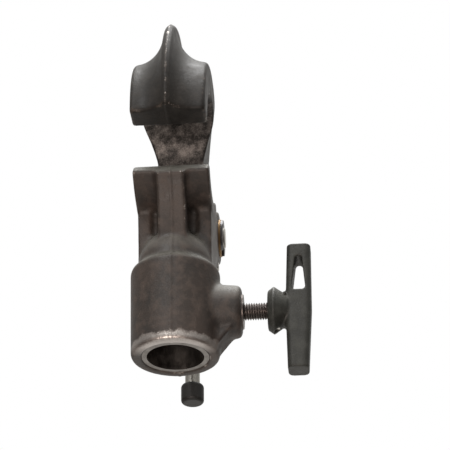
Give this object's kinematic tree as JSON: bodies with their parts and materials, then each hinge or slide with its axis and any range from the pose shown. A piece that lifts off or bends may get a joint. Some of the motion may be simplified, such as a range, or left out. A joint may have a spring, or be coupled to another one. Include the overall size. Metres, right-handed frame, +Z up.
{
  "type": "pipe clamp with spigot socket",
  "caption": "Super clamp for a scaffold pipe: swinging ribbed hook over a fixed saddle, closed by a rear screw with tommy bar, with a spigot socket and T-handle below.",
  "frame": {"origin": "axis of the gripped pipe, at the middle of the clamp's width", "axes": "+X along the pipe towards the T-handle, -Y the open front of the jaws, +Z up; the socket opens towards -Z"},
  "size_m": [0.091, 0.1352, 0.1715],
  "materials": {
    "painted_casting": "worn black paint on a casting",
    "painted_handle": "black paint on a die casting",
    "socket_steel": "machined steel",
    "black_oxide_steel": "blackened steel, oiled",
    "zinc_steel": "zinc plated",
    "spring_steel": "phosphated spring steel",
    "bronze": "machined bronze",
    "brass": "machined brass",
    "cap_plastic": "moulded, fine grain"
  },
  "bodies": {
    "body": {"body_casting": "painted_casting", "socket_sleeve": "socket_steel", "sleeve_dowel": "zinc_steel", "thrust_pad": "zinc_steel", "opening_stop_pin": "zinc_steel", "boss_threaded_insert": "socket_steel", "hook_pivot_pin": "zinc_steel", "pivot_bushes": "bronze", "pivot_clips": "spring_steel", "hook_return_spring": "spring_steel"},
    "hook": {"hook_jaw": "painted_casting", "screw_bush": "bronze"},
    "thrust_cap": {"thrust_cap": "bronze"},
    "clamp_screw": {"clamp_screw": "black_oxide_steel", "thrust_cap_ring": "spring_steel", "screw_head": "black_oxide_steel", "screw_head_pin": "zinc_steel"},
    "tommy_bar": {"tommy_bar": "zinc_steel", "tommy_bar_caps": "cap_plastic"},
    "spigot_pad": {"spigot_pad": "brass"},
    "side_screw": {"side_screw": "black_oxide_steel", "spigot_pad_ring": "spring_steel", "side_t_handle": "painted_handle", "side_handle_pin": "zinc_steel"}
  },
  "joints": [
    {"name": "hook_swing", "type": "hinge", "parent": "body", "child": "hook", "pos_m": [0, 0.042, -0.024], "axis": [1, 0, 0], "range_deg": [-36, 10], "deforming": ["hook_return_spring"]},
    {"name": "thrust_travel", "type": "slide", "parent": "hook", "child": "thrust_cap", "axis": [0, -1, 0], "range_m": [-0.01779, 0.00494]},
    {"name": "clamp_screw_turn", "type": "hinge", "parent": "thrust_cap", "child": "clamp_screw", "pos_m": [0, 0.06, -0.052], "axis": [0, -1, 0], "range_deg": [-3660.48, 1016.8]},
    {"name": "tommy_slide", "type": "slide", "parent": "clamp_screw", "child": "tommy_bar", "axis": [0, 0, 1], "range_m": [-0.0195, 0.0195]},
    {"name": "pad_travel", "type": "slide", "parent": "body", "child": "spigot_pad", "axis": [-1, 0, 0], "range_m": [-0.003, 0.005]},
    {"name": "side_screw_turn", "type": "hinge", "parent": "spigot_pad", "child": "side_screw", "pos_m": [0.04, 0, -0.082], "axis": [-1, 0, 0], "range_deg": [-864, 1440]}
  ],
  "couplings": [
    {"joint": "clamp_screw_turn", "follows": "hook_swing", "ratio": 101.68},
    {"joint": "thrust_travel", "follows": "hook_swing", "m_per_rad": 0.02832},
    {"joint": "side_screw_turn", "follows": "pad_travel", "rad_per_m": 5026.5}
  ]
}
